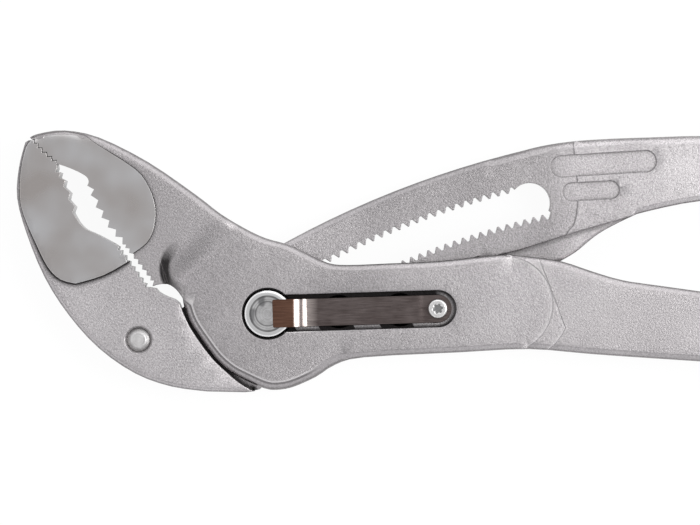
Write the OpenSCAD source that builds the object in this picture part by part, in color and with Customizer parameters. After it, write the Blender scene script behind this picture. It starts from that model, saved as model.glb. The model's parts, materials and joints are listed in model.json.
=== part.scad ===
// Push-button water pump pliers: two forged arms in a box joint, a curved toothed slot,
// a sliding hinge bolt with locking teeth, its leaf spring, an opening spring and two grips.
// Millimetres. The tool lies on its back, +Z towards the viewer, the hinge bolt's axis is x = y = 0
// and the jaw lands and grips rest on z = 0. The jaws point to -X.

/* [Overall] */
// length from the jaw tips to the grip ends, jaws closed
overall_length = 250; // [240:1:260]
// thickness over the jaw lands and the grips
head_thickness = 11; // [10.8:0.1:12.5]
// how far the neck and the front handle lie below the lands, per side
neck_drop = 0.25; // [0.15:0.05:0.35]
// how far the box joint's cheeks lie below the lands, per side
cheek_drop = 0.75; // [0.6:0.05:0.85]
// how far the lower jaw's body lies below its land, per side
jaw_drop = 0.6; // [0.4:0.05:0.8]

/* [Box joint] */
// thickness of the toothed shank
shank_thickness = 4.6; // [4.2:0.1:4.8]
// side clearance of the shank between the cheeks
shank_clearance = 0.1; // [0.06:0.01:0.2]
// how far the upper handle stands out over the shank, per side
handle_step = 0.15; // [0.1:0.05:0.35]
// thickness of the pinch guard below the upper handle
guard_thickness = 3; // [2.4:0.1:3.6]
// how far the handles swing open, in degrees
swing_angle = 16; // [12:1:16]

/* [Toothed slot] */
// number of steps that the jaw size can be set by
slot_positions = 30; // [24:1:30]
// distance from tooth to tooth along the slot's centre line
tooth_pitch = 1.87; // [1.75:0.01:1.9]
// width between the facing tooth tips
slot_width = 5.8; // [5.6:0.1:6.2]
// depth of the slot's teeth
tooth_depth = 1.05; // [0.8:0.05:1.2]
// clearance of the bolt's teeth in the slot's teeth
tooth_clearance = 0.1; // [0.06:0.01:0.15]

/* [Hinge bolt] */
// diameter of the bolt's head in the front cheek
bolt_diameter = 9.8; // [9.6:0.1:10.2]
// diameter of the push button end in the back cheek
button_diameter = 5.2; // [4.8:0.1:5.3]
// radial running clearance of the bolt
bolt_clearance = 0.06; // [0.03:0.01:0.1]
// height of the bolt's locking teeth
lock_height = 2; // [1.6:0.1:2.2]

/* [Leaf spring] */
// width of the blade
leaf_width = 5.6; // [5.2:0.1:6]
// thickness of the blade
leaf_thickness = 0.5; // [0.4:0.05:0.6]
// depth of the blade's recess in the front cheek
leaf_recess = 1.25; // [1.1:0.05:1.4]
// diameter of the screw's head
screw_head = 3.9; // [3.6:0.1:4.4]
// diameter of the screw's thread
screw_thread = 2; // [1.6:0.1:2.2]

/* [Opening spring] */
// diameter of the spring's wire
spring_wire = 0.5; // [0.4:0.05:0.55]
// turns of the spring
spring_turns = 16; // [12:1:17]
// diameter of the cross pin that the spring stands on
anchor_diameter = 4.8; // [4.6:0.1:5.2]

/* [Grips] */
// length of the grip sleeves
grip_length = 98; // [90:1:102]
// width of the grip sleeves
grip_width = 15.4; // [14.4:0.2:17]

/* [Hidden] */
$fn = 64;

// plan outlines are drawn for the 250 mm size
unit = overall_length / 250;

// heights above and below the middle plane
mid = head_thickness / 2;
land_half = mid;
neck_half = mid - neck_drop;
cheek_half = mid - cheek_drop;
jaw_half = mid - jaw_drop;
shank_half = shank_thickness / 2;
box_half = shank_half + shank_clearance;
handle_half = shank_half + handle_step;
relief_half = handle_half + 0.15;
tang_half = 3.8;
slotted_tang_half = handle_half - 0.3;

// the slot's centre line: an arc through the bolt, about a point far below the handles
arc_centre = unit * [95.4, -153.3];
slot_radius = norm(arc_centre);
bolt_heading = atan2(-arc_centre.y, -arc_centre.x);
shank_above = 10.5 * unit;
shank_below = 8.4 * unit;
guard_below = 12.66 * unit;
slot_half = slot_width / 2;
slot_start = -8.2;
slot_end = (slot_positions + 0.5) * tooth_pitch;

// levels along the bolt
head_bottom = mid + shank_half + 0.05;
head_top = mid + cheek_half - 0.15;
lock_bottom = head_bottom - lock_height;
bolt_radius = bolt_diameter / 2;
button_radius = button_diameter / 2;
button_end = 0.2;

// leaf spring: from its screw to its tip on the bolt
screw_at = unit * [33.9, 1];
leaf_tip_at = [1, 0];
leaf_run = norm(screw_at - leaf_tip_at);
leaf_heading = atan2(screw_at.y - leaf_tip_at.y, screw_at.x - leaf_tip_at.x);
leaf_floor = mid + cheek_half - leaf_recess;
leaf_end_radius = leaf_width / 2;

// opening spring: from the follower in the slot to the cross pin in the lower jaw
anchor_at = unit * [-25.7, -5.2];
follower_back = along_slot(-5.6, 0);
spring_heading = atan2(anchor_at.y - follower_back.y, anchor_at.x - follower_back.x);
spring_radius = 1.42;
spring_bore = spring_radius + spring_wire / 2 + 0.2;
anchor_radius = anchor_diameter / 2;
spring_length = norm(anchor_at - follower_back) - anchor_radius - 0.1;

// curves

function polar(radius, angle) = radius * [cos(angle), sin(angle)];

// a point a distance along the slot's centre line from the bolt, offset outwards
function along_slot(run, out) =
    arc_centre + polar(slot_radius + out, bolt_heading - run / slot_radius * 180 / PI);

// a stretch parallel to the slot's centre line
function slot_arc(from, to, out, steps) =
    [for (i = [0 : steps]) along_slot(from + (to - from) * i / steps, out)];

function spline_point(a, b, c, d, t) =
    (2 * b + (c - a) * t + (2 * a - 5 * b + 4 * c - d) * t * t + (3 * b - a - 3 * c + d) * t * t * t) / 2;

// a smooth curve through points, without its last point
function curve(points, steps) =
    let (last = len(points) - 1)
    [for (i = [0 : last - 1]) for (j = [0 : steps - 1])
        spline_point(points[max(i - 1, 0)], points[i], points[i + 1], points[min(i + 2, last)], j / steps)];

function at_curve(points, t) =
    let (last = len(points) - 1, i = min(floor(t * last), last - 1))
    spline_point(points[max(i - 1, 0)], points[i], points[i + 1], points[min(i + 2, last)], t * last - i);

function unit_vector(v) = v / norm(v);

function left_of(v) = [-v.y, v.x];

// a closed outline moved inwards, outline counter-clockwise
function inset(outline, distance) =
    let (n = len(outline))
    [for (i = [0 : n - 1])
        let (b = outline[i],
             u = left_of(unit_vector(b - outline[(i + n - 1) % n])),
             v = left_of(unit_vector(outline[(i + 1) % n] - b)))
        b + (u + v) * distance / max(1 + u * v, 0.25)];

// a row of teeth along a curve: tips on the curve, valleys to its left, leaning by the given share
function teeth(points, count, depth, lean) =
    [for (i = [0 : count - 1]) each
        let (a = at_curve(points, i / count), b = at_curve(points, (i + 1) / count))
        [a, a + (b - a) * lean + left_of(unit_vector(b - a)) * depth]];

// both sides of a strip about part of a centre line, counter-clockwise
function strip(centre, half, steps, from, to) =
    let (sides = [for (i = [0 : steps])
        let (t = from + (to - from) * i / steps, p = at_curve(centre, t),
             d = unit_vector(at_curve(centre, min(t + 0.01, 1)) - at_curve(centre, max(t - 0.01, 0))))
        [p - left_of(d) * half, p + left_of(d) * half]])
    concat([for (s = sides) s[0]], [for (i = [steps : -1 : 0]) sides[i][1]]);

// solids

// a plate about the middle plane
module slab(outline, half) {
    translate([0, 0, mid - half])
        linear_extrude(2 * half)
            polygon(outline);
}

// a ring sector about the slot's centre of curvature
module slot_ring(from, to, inner, outer, bottom, top) {
    turn = (to - from) / slot_radius * 180 / PI;
    translate([arc_centre.x, arc_centre.y, 0])
        rotate(bolt_heading - to / slot_radius * 180 / PI)
            rotate_extrude(angle = turn, $fn = 1440)
                translate([slot_radius + inner, bottom])
                    square([outer - inner, top - bottom]);
}

// the outline of one slot tooth's gap, or with a clearance of the tooth that fits it
function tooth_gap(run, side, clearance) =
    let (mouth = tooth_pitch / 2 - 0.14 - clearance * 1.3,
         root = 0.2 - clearance * 0.5,
         slope = (mouth - root) / tooth_depth,
         low = side * (slot_half - 0.15),
         high = side * (slot_half + tooth_depth - clearance),
         wide = mouth + slope * 0.15,
         narrow = root + slope * clearance)
    [along_slot(run - wide, low), along_slot(run - narrow, high),
     along_slot(run + narrow, high), along_slot(run + wide, low)];

// the gaps on both sides of the slot, joined across it; the lower row runs on below the round end
function tooth_comb() =
    concat(
        [for (k = [-1 : slot_positions + 2]) each tooth_gap(k * tooth_pitch, -1, 0)],
        [for (k = [-slot_positions : 1]) for (i = [3 : -1 : 0]) tooth_gap(-k * tooth_pitch, 1, 0)[i]]);

module at_leaf() {
    translate([leaf_tip_at.x, leaf_tip_at.y, 0])
        rotate(leaf_heading)
            children();
}

// the fine teeth at the jaw tips, on the lower jaw set back by a gap
function tip_teeth(gap) =
    [for (p = teeth(unit * [[-47, 34.7], [-44.8, 32.2], [-42, 29.9]], 6, 0.6, 0.5)) p - gap * [0.71, 0.71]];

// the front arm

bite_upper = concat(
    unit * [[-50, 40], [-48, 36]],
    tip_teeth(0),
    curve(unit * [[-42, 29.9], [-39.4, 29], [-37.2, 28], [-36, 27.2], [-35.6, 26.3], [-35.9, 25.5]], 3),
    teeth(unit * [[-35.9, 25.5], [-34.2, 21.2], [-31.8, 17.2], [-29.1, 14]], 6, 1, 0.58),
    teeth(unit * [[-28.9, 13.8], [-25.8, 9.9], [-22.8, 5.9]], 8, 0.6, 0.5),
    unit * [[-22.8, 5.9], [-24, 2], [-52, 20], [-52, 40]]);

front_outline = concat(
    unit * [[-50.8, 32.2], [-49.6, 29.4], [-43.4, 27], [-38.3, 26], [-37.4, 23.5], [-34.6, 17.6],
            [-30, 12.8], [-23.7, 5.2]],
    curve(unit * [[-22.4, 5.7], [-20, 5.9], [-18.2, 4.8], [-16.9, 3]], 3),
    curve(unit * [[-16.9, 3], [-16.6, 1.2], [-15.4, -2], [-12.9, -5.8], [-10.3, -9.2], [-7.5, -11.6], [-4.9, -13],
                  [-2.6, -14.1], [-0.6, -14.9], [1.4, -15.2], [4.8, -14.7], [9.6, -12.6], [13.4, -10.2], [19.2, -8.7],
                  [38.4, -7.7], [52, -7.05], [64, -8], [76.8, -8.9], [114, -11.3]], 3),
    curve(unit * [[114, -11.3], [114, 0.6]], 1),
    curve(unit * [[114, 0.6], [78.6, 5.5], [70.6, 6.7], [64.4, 8.5], [58.6, 10.4], [52, 11.35], [46.4, 11.7],
                  [34.6, 10.5], [24, 10], [16, 9.7], [12, 10.1], [7.6, 12.1], [4, 13.8], [-0.6, 15.1],
                  [-4.8, 17.1], [-9.6, 20], [-14.4, 23.7], [-24, 30.3], [-33.6, 35.1], [-40.4, 36.5],
                  [-45.4, 35.9], [-47.6, 34.9], [-50.8, 32.2]], 3));

front_land = concat(
    unit * [[-47.2, 34.8], [-46.6, 31.2], [-41, 24.6], [-39, 20.5], [-36, 14.5], [-31.4, 10.2], [-27.6, 10.6]],
    curve(unit * [[-27, 11.9], [-24, 14.2], [-22.6, 17.2], [-22.4, 21.3], [-23.7, 25.3], [-26.4, 28.8],
                  [-34, 33.7], [-36.2, 35.4]], 3),
    curve(unit * [[-36.2, 35.4], [-40.4, 36.2], [-45, 35.6], [-47.2, 34.8]], 3));

// the space over a lower face and over the ramp that leads up from its straight edge to the neck
module above_ramp(foot, heading, run, level) {
    translate([foot.x, foot.y, 0])
        rotate(heading)
            rotate([90, 0, 0])
                translate([0, 0, -60])
                    linear_extrude(120)
                        polygon([[-run, mid + neck_half], [0, mid + level], [110, mid + level],
                                 [110, mid + 9], [-run, mid + 9]]);
}

// both faces of the box joint lie lower, behind a ramp from the neck and in front of round steps;
// the ramp is steep next to the bite and flattens towards the tool's edge
module box_face(level, round_at, round_radius) {
    intersection() {
        above_ramp(unit * [-20, 7], 12, 0.6 * unit, level);
        above_ramp(unit * [-12.6, 12.3], -48.8, 4.6 * unit, level);
        above_ramp(unit * [-11.8, 14.8], -68.8, 2.6 * unit, level);
        union() {
            translate([-40, -30, mid])
                cube([40 + round_at.x, 70, 12]);
            translate([round_at.x, round_at.y, mid])
                cylinder(r = round_radius, h = 12);
        }
    }
}

module box_faces() {
    band_half = (cheek_half + neck_half) / 2;
    box_face(cheek_half, unit * [47.3, 1.9], 9.5 * unit);
    box_face(band_half, unit * [49, 1.7], 11.2 * unit);
}

// where the slotted arm runs and swings
module box_space() {
    low = mid - box_half;
    high = mid + box_half;
    slot_ring(-45, 70, -guard_below - 0.35, shank_above + 0.3, low, high);
    rotate(swing_angle)
        slot_ring(-45, 50, -shank_below - 0.2, shank_above + 0.25, low + 0.03, high - 0.03);
    slot_ring(5.4, 70, -shank_below - 0.25, 40, mid - relief_half, mid + relief_half);
    rotate(214)
        rotate_extrude(angle = 72, $fn = 180)
            translate([10.6 * unit, low + 0.015])
                square([30 * unit, high - low - 0.03]);
}

module leaf_recess_cut() {
    wide = leaf_width / 2 + 0.9;
    pocket = 0.45;
    at_leaf() {
        translate([0, -wide, leaf_floor])
            cube([leaf_run, 2 * wide, 10]);
        translate([leaf_run, 0, leaf_floor])
            cylinder(r = wide, h = 10);
        for (x = [13.2, 25.4])
            translate([x * unit, 0, leaf_floor - pocket])
                cylinder(r1 = wide - 0.8, r2 = wide - 0.3, h = pocket + 0.05);
    }
}

module bolt_bores() {
    button_dish = 1.3;
    back = mid - cheek_half;
    translate([0, 0, mid])
        cylinder(r = bolt_radius + bolt_clearance, h = 20);
    translate([0, 0, mid + cheek_half - 0.25])
        cylinder(r1 = bolt_radius + bolt_clearance, r2 = bolt_radius + bolt_clearance + 1.25, h = 1.25);
    translate([0, 0, -1])
        cylinder(r = button_radius + bolt_clearance, h = mid);
    translate([0, 0, back - 1])
        cylinder(r1 = 7.4, r2 = 3.4, h = 1 + button_dish);
}

grip_front = overall_length - 50 * unit - grip_length;
front_centre = unit * [[66, -0.6], [94, -4], [118, -6.2], [145, -7.2], [172, -6.4], [200, -4.2]];
slotted_centre = unit * [[66, 26.4], [94, 29.9], [118, 30.4], [145, 29.6], [172, 27.8], [200, 25]];

// where along its handle a sleeve starts
function sleeve_start(centre) =
    (grip_front - centre[0].x) / (centre[len(centre) - 1].x - centre[0].x);

// the tang under a sleeve
function tang(centre) = strip(centre, 4.4 * unit, 14, sleeve_start(centre) - 0.06, 0.92);

module front_arm() {
    color([0.66, 0.65, 0.63])
        difference() {
            union() {
                trimmed(front_centre)
                    slab(front_outline, neck_half);
                slab(front_land, land_half);
                slab(tang(front_centre), tang_half);
            }
            box_faces();
            translate([0, 0, 2 * mid])
                mirror([0, 0, 1])
                    box_faces();
            translate([0, 0, -1])
                linear_extrude(head_thickness + 2)
                    polygon(bite_upper);
            box_space();
            bolt_bores();
            leaf_recess_cut();
            translate([screw_at.x, screw_at.y, mid - 1.6])
                cylinder(d = screw_thread + 0.04, h = 10);
        }
}

// the forging ends where the sleeve begins
module trimmed(centre) {
    start = sleeve_start(centre);
    at = at_curve(centre, start);
    ahead = at_curve(centre, start + 0.01) - at_curve(centre, start - 0.01);
    difference() {
        children();
        translate([at.x, at.y, -1])
            rotate(atan2(ahead.y, ahead.x))
                translate([-0.05, -100, 0])
                    cube([100, 200, head_thickness + 2]);
    }
}

// the slotted arm

bite_lower = concat(
    unit * [[-52, 40], [-49.2, 33.6], [-47.7, 34.5]],
    tip_teeth(0.2),
    teeth_right(unit * [[-41.9, 29], [-40.6, 27.2], [-39, 23.3], [-37.6, 18.9]], 5, 0.75, 0.4),
    curve(unit * [[-37.7, 18.3], [-36.3, 16.9], [-33.7, 15.7], [-29.6, 13.5]], 3),
    teeth_right(unit * [[-29.6, 13.4], [-26.6, 9.4], [-23.7, 5.3]], 8, 0.6, 0.5),
    unit * [[-23.7, 5.3], [-22.6, 5.1], [-20.4, 5.2], [-20.6, 8], [-27, 20], [-36, 38]]);

function teeth_right(points, count, depth, lean) = teeth(points, count, -depth, lean);

jaw_outline = concat(
    curve(unit * [[-47.4, 36.6], [-48.5, 33.4], [-49.6, 28.8], [-49.9, 23], [-48, 15.9], [-44.4, 7.2],
                  [-39.6, -0.3], [-33.6, -6.9], [-26.4, -11.9], [-19.2, -14.5], [-12, -15.5]], 3),
    unit * [[-12, -15.5], [-4.5, -15.65]],
    curve(unit * [[-2.6, -15.45], [-3.95, -14.85], [-5.1, -14.15], [-6.3, -13.3], [-7.9, -11.9], [-10.6, -9.4],
                  [-13.3, -6], [-15.8, -2.1], [-17.6, 2.1]], 3),
    curve(unit * [[-17.6, 2.1], [-18.6, 2.9], [-20, 3.4], [-21.8, 4.4], [-22.6, 5.6]], 2),
    unit * [[-22.6, 5.6], [-28.4, 14.4], [-33, 16.6], [-36.2, 18.2], [-37, 21.5], [-38.8, 27.6], [-40.2, 29.8], [-44, 36.6]]);

jaw_land = concat(
    curve(unit * [[-46.9, 34.7], [-48.1, 33.1], [-49.1, 28.6], [-49.3, 23.4], [-48.5, 19.5], [-46, 13.7],
                  [-43.7, 9.2], [-41.2, 6.8], [-38.2, 6]], 3),
    curve(unit * [[-38.2, 6], [-32.6, 7.7], [-27.4, 10.6]], 3),
    unit * [[-27.4, 10.6], [-26.2, 12.4], [-31.4, 17.4], [-34.8, 19.4], [-35.4, 22.4], [-37, 28.2], [-41.6, 34.6]]);

// the heel, as thin as the shank, that closes the joint below the bolt
heel_outline = unit * [[-12, -8], [-12, -15.3], [-3.9, -15.6], [-1.6, -15.1], [-0.8, -14.3], [-1.6, -12.6], [-6, -9]];

shank_outline = concat(
    slot_arc(-15 * unit, 48.2 * unit, -shank_below, 16),
    curve(unit * [[50.6, 12.8], [54.6, 14.1], [62.8, 16.7], [70, 18.7], [76.2, 20.5], [88, 22.7], [114, 25]], 3),
    curve(unit * [[114, 25], [114, 35.4]], 1),
    curve(unit * [[114, 35.4], [88, 35.5], [76.8, 35.2], [67.2, 34.85], [60, 34.3], [54.4, 33.4], [49.9, 32.25]], 3),
    slot_arc(54.6 * unit, -16 * unit, shank_above, 16),
    unit * [[-21.5, -3], [-21, -9], [-15, -13]]);

// the shank's faces lie lower than the upper handle's, up to a round step
shank_field = concat(
    curve(unit * [[61, 40], [61, 34], [61.7, 28], [61.9, 22.4], [61.2, 18], [59.8, 16.1], [57, 10], [50, 2]], 3),
    unit * [[50, 2], [-30, -40], [-30, 40]]);

guard_outline = concat(
    slot_arc(53 * unit, 59.2 * unit, -guard_below, 4),
    curve(unit * [[58.5, 10.5], [61.5, 12.3], [63.9, 14.3], [66, 15.9], [68.4, 17.3], [71.6, 18.9], [76, 20.9]], 3),
    unit * [[76, 22], [60, 18], [46, 13.4]],
    [along_slot(43.5 * unit, 1.2 * unit - shank_below)]);

// a bare field for a marking, sunk into the handle's face
module pill(at, length, height, tilt) {
    reach = (length - height) / 2;
    translate([at.x, at.y, mid + shank_half - 0.15])
        rotate(tilt) {
            translate([-reach, -height / 2, 0])
                cube([2 * reach, height, 5]);
            for (side = [-1, 1])
                translate([side * reach, 0, 0])
                    cylinder(d = height, h = 5);
        }
}

module toothed_slot() {
    low = mid - 10;
    high = mid + 10;
    slot_ring(slot_start, slot_end, -slot_half, slot_half, low, high);
    translate([0, 0, low])
        linear_extrude(high - low)
            polygon(tooth_comb());
    end = along_slot(slot_end, 0);
    translate([end.x, end.y, low])
        rotate(bolt_heading - 90 - slot_end / slot_radius * 180 / PI)
            intersection() {
                cylinder(r = slot_half + tooth_depth + 0.1, h = high - low);
                translate([-20, 0.03 - slot_half, 0])
                    cube([40, 20, high - low]);
            }
}

module anchor_hole() {
    translate([anchor_at.x, anchor_at.y, 0]) {
        cylinder(r = anchor_radius + 0.02, h = head_thickness);
        for (face = [0, 1])
            translate([0, 0, mid])
                mirror([0, 0, face])
                    translate([0, 0, jaw_half - 0.4])
                        cylinder(r1 = anchor_radius, r2 = anchor_radius + 0.8, h = 0.8);
    }
}

module spring_bore_cut() {
    translate([follower_back.x, follower_back.y, mid])
        rotate(spring_heading)
            rotate([0, 90, 0])
                cylinder(r = spring_bore, h = spring_length + 0.4);
}

module slotted_arm() {
    color([0.66, 0.65, 0.63])
        difference() {
            union() {
                difference() {
                    union() {
                        slab(jaw_outline, jaw_half);
                        slab(jaw_land, land_half);
                    }
                    translate([0, 0, -1])
                        linear_extrude(head_thickness + 2)
                            polygon(bite_lower);
                }
                trimmed(slotted_centre)
                    difference() {
                        slab(shank_outline, handle_half);
                        for (face = [0, 1])
                            translate([0, 0, mid])
                                mirror([0, 0, face])
                                    translate([0, 0, shank_half])
                                        linear_extrude(5)
                                            polygon(shank_field);
                    }
                slab(guard_outline, guard_thickness / 2);
                slab(heel_outline, shank_half);
                slab(tang(slotted_centre), slotted_tang_half);
            }
            toothed_slot();
            anchor_hole();
            spring_bore_cut();
            pill(unit * [67, 29.9], 21.2 * unit, 4.4 * unit, 3.5);
            pill(unit * [64.5, 24.5], 11.4 * unit, 3.7 * unit, 3);
        }
}

// the hinge bolt: head in the front cheek, locking teeth in the slot, push button in the back cheek

module hinge_bolt() {
    rim = bolt_radius - 1.3;
    color([0.78, 0.78, 0.77]) {
        rotate_extrude()
            polygon(concat(
                [[0, button_end], [button_radius - 0.8, button_end]],
                [for (a = [-60 : 30 : 0]) [button_radius - 0.8, button_end + 0.8] + polar(0.8, a)],
                [[button_radius, lock_bottom + 0.1], [button_radius, head_bottom], [bolt_radius, head_bottom]],
                [for (a = [0 : 22.5 : 90]) [rim + (bolt_radius - rim) * cos(a), head_top - 0.7 + 0.7 * sin(a)]],
                [[0, head_top]]));
        intersection() {
            translate([0, 0, lock_bottom])
                cylinder(r = bolt_radius - 0.25, h = lock_height + 0.1);
            union() {
                slot_ring(-8, 8, tooth_clearance - slot_half, slot_half - tooth_clearance,
                          lock_bottom, head_bottom + 0.1);
                for (k = [-1 : 1], side = [-1, 1])
                    translate([0, 0, lock_bottom])
                        linear_extrude(lock_height + 0.1)
                            polygon(tooth_gap(k * tooth_pitch, side, tooth_clearance));
            }
        }
    }
}

// the shoe that carries the opening spring's push to the bolt

module slot_follower() {
    bottom = mid - shank_half + 0.2;
    top = lock_bottom - 0.25;
    color([0.45, 0.44, 0.43]) {
        difference() {
            intersection() {
                slot_ring(-7.8, -1.5, 0.3 - slot_half, slot_half - 0.3, bottom, top);
                translate([follower_back.x, follower_back.y, 0])
                    rotate(spring_heading)
                        translate([-20, -10, 0])
                            cube([20, 20, head_thickness]);
            }
            cylinder(r = button_radius + bolt_clearance, h = head_thickness);
        }
        translate([follower_back.x, follower_back.y, mid])
            rotate(spring_heading)
                rotate([0, 90, 0])
                    translate([0, 0, -0.5])
                        cylinder(r = spring_radius - spring_wire / 2 - 0.5, h = 2);
    }
}

// the opening spring: one unbroken wire

module opening_spring() {
    ring_steps = 12;
    sides = 6;
    wire = spring_wire / 2;
    start = wire + 0.05;
    rise = (spring_length - 2 * start) / spring_turns;
    steps = spring_turns * ring_steps;
    points = [for (i = [0 : steps]) for (j = [0 : sides - 1])
        let (turn = 360 * i / ring_steps, a = 360 * j / sides, r = spring_radius + wire * cos(a))
        [r * cos(turn), r * sin(turn), start + rise * i / ring_steps + wire * sin(a)]];
    echo(least_gap_between_turns = min([for (i = [0 : steps - ring_steps])
        norm(points[(i + ring_steps) * sides + 5] - points[i * sides + 1])]));
    color([0.6, 0.6, 0.6])
        translate([follower_back.x, follower_back.y, mid])
            rotate(spring_heading)
                rotate([0, 90, 0])
                    polyhedron(points, concat(
                        [[for (j = [0 : sides - 1]) j]],
                        [[for (j = [sides - 1 : -1 : 0]) steps * sides + j]],
                        [for (i = [0 : steps - 1]) for (j = [0 : sides - 1]) each
                            let (k = (j + 1) % sides, a = i * sides, b = a + sides)
                            [[a + j, b + j, b + k], [a + j, b + k, a + k]]]));
}

// the cross pin of the opening spring

module spring_anchor_pin() {
    end = jaw_half - 0.15;
    chamfer = 0.7;
    color([0.72, 0.71, 0.7])
        translate([anchor_at.x, anchor_at.y, mid])
            rotate_extrude()
                polygon([[0, -end], [anchor_radius - chamfer - 0.3, -end], [anchor_radius, chamfer - end],
                         [anchor_radius, end - chamfer], [anchor_radius - chamfer - 0.3, end], [0, end]]);
}

// the leaf spring: screwed down at one end, stepped up onto the bolt at the other

module leaf_spring() {
    tip = head_top + 0.03;
    seat = leaf_floor;
    blade = leaf_floor + 0.06;
    lower = [[0, tip], [3.8, tip], [6.6, blade], [leaf_run - 4, blade], [leaf_run - 2.6, seat],
             [leaf_run + leaf_end_radius, seat]];
    upper = [for (i = [len(lower) - 1 : -1 : 0]) lower[i] + [0, leaf_thickness]];
    color([0.33, 0.3, 0.29])
        at_leaf()
            difference() {
                intersection() {
                    rotate([90, 0, 0])
                        translate([0, 0, -leaf_width])
                            linear_extrude(2 * leaf_width)
                                polygon(concat(lower, upper));
                    union() {
                        translate([0, -leaf_width / 2, 0])
                            cube([leaf_run, leaf_width, 30]);
                        translate([leaf_run, 0, 0])
                            cylinder(r = leaf_end_radius, h = 30);
                    }
                }
                translate([leaf_run, 0, 0])
                    cylinder(d = screw_thread + 0.3, h = 30);
            }
}

// the leaf spring's screw: pan head with a star recess

module leaf_spring_screw() {
    under = leaf_floor + leaf_thickness + 0.01;
    head = 1.15;
    edge = 0.5;
    radius = screw_head / 2;
    color([0.75, 0.75, 0.74])
        translate([screw_at.x, screw_at.y, 0])
            difference() {
                rotate_extrude()
                    polygon(concat(
                        [[0, mid - 1.4], [screw_thread / 2 - 0.3, mid - 1.4], [screw_thread / 2, mid - 1.1],
                         [screw_thread / 2, under], [radius, under]],
                        [for (a = [0 : 22.5 : 90])
                            [radius - edge, under + head - edge] + polar(edge, a)],
                        [[0, under + head]]));
                translate([0, 0, under + head - 0.6]) {
                    cylinder(r = 0.78, h = 2);
                    for (lobe = [0 : 5])
                        rotate(60 * lobe + 12)
                            translate([0.78, 0, 0])
                                cylinder(r = 0.26, h = 2, $fn = 24);
                }
            }
}

// the grips: dipped sleeves with a collar towards the joint

function grip_swell(t) = 1 + 0.09 * exp(-pow(t / 0.05, 2)) - 0.05 * exp(-pow((t - 0.16) / 0.09, 2));

function grip_close(t) = t < 0.94 ? 1 : sqrt(max(1 - pow((t - 0.94) / 0.066, 2), 0.04));

module grip(centre, core_half) {
    rings = 30;
    sides = 24;
    first = sleeve_start(centre);
    places = [for (i = [0 : rings])
        let (u = i / rings, t = u < 0.8 ? u * 1.13 : 0.904 + (u - 0.8) * 0.48) t];
    points = [for (t = places) each
        let (s = first + (1 - first) * t,
             p = at_curve(centre, s),
             d = unit_vector(at_curve(centre, min(s + 0.01, 1)) - at_curve(centre, s - 0.01)),
             across = left_of(d),
             wide = grip_width / 2 * grip_swell(t) * grip_close(t),
             high = mid * (t < 0.94 ? 1 : 0.35 + 0.65 * grip_close(t)))
        [for (j = [0 : sides - 1])
            let (a = 360 * j / sides,
                 x = sign(cos(a)) * pow(abs(cos(a)), 0.7), z = sign(sin(a)) * pow(abs(sin(a)), 0.6))
            [p.x + across.x * wide * x, p.y + across.y * wide * x, mid + high * z]]];
    difference() {
        polyhedron(points, concat(
            [[for (j = [0 : sides - 1]) j]],
            [[for (j = [sides - 1 : -1 : 0]) rings * sides + j]],
            [for (i = [0 : rings - 1]) for (j = [0 : sides - 1]) each
                let (k = (j + 1) % sides, a = i * sides, b = a + sides)
                [[a + j, b + j, b + k], [a + j, b + k, a + k]]]));
        slab(inset(tang(centre), -0.06), core_half + 0.06);
    }
}

module front_grip() {
    color([0.16, 0.17, 0.19])
        grip(front_centre, tang_half);
}

module slotted_grip() {
    color([0.16, 0.17, 0.19])
        grip(slotted_centre, slotted_tang_half);
}

front_arm();
slotted_arm();
hinge_bolt();
slot_follower();
opening_spring();
spring_anchor_pin();
leaf_spring();
leaf_spring_screw();
front_grip();
slotted_grip();
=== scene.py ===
"""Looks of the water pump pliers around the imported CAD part, in metres and in the part's own frame."""

import json
import math
from collections import namedtuple
from functools import partial, reduce

import bmesh
import bpy
import numpy as np
from mathutils import Matrix, Vector
from mathutils.geometry import delaunay_2d_cdt

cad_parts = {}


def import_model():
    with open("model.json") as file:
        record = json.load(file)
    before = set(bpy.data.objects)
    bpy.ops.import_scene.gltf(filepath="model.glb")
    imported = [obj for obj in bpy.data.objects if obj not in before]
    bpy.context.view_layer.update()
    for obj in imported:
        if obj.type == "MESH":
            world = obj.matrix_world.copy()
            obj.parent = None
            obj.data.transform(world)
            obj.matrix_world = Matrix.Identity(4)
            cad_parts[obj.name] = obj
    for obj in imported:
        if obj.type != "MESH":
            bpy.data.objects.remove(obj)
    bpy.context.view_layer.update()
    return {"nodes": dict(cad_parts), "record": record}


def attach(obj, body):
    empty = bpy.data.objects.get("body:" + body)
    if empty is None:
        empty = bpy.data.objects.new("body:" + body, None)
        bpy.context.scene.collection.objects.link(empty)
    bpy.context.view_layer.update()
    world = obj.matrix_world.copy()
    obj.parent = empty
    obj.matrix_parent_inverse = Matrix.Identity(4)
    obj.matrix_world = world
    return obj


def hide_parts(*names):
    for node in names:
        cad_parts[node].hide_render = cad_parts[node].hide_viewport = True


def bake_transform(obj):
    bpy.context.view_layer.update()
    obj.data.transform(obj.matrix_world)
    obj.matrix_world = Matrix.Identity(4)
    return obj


MM = 0.001

# Places on the part that the materials and the pieces share, in millimetres.
MIDDLE = 5.5  # height of the arms' middle plane
CHEEK = 4.75  # the cheeks' faces, from the middle plane
LAND = (5.28, 5.31)  # where the ground jaw lands start, from the middle plane
LEAF_START = 1.0  # the leaf spring's tip lies at this x, and the spring runs along the direction below
LEAF_COS, LEAF_SIN = 0.99954, 0.03038
SCREW_AT = (33.9, 1)
PIN_AT = (-25.7, -5.2)

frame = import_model()
nodes = frame["nodes"]


# --- node trees --------------------------------------------------------------

MIX_A, MIX_B, MIX_RESULT = 6, 7, 2  # a mix node's sockets for colours
NOISE_MIDDLE = (0.3, 0.7)  # most values of a noise lie between these


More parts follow.
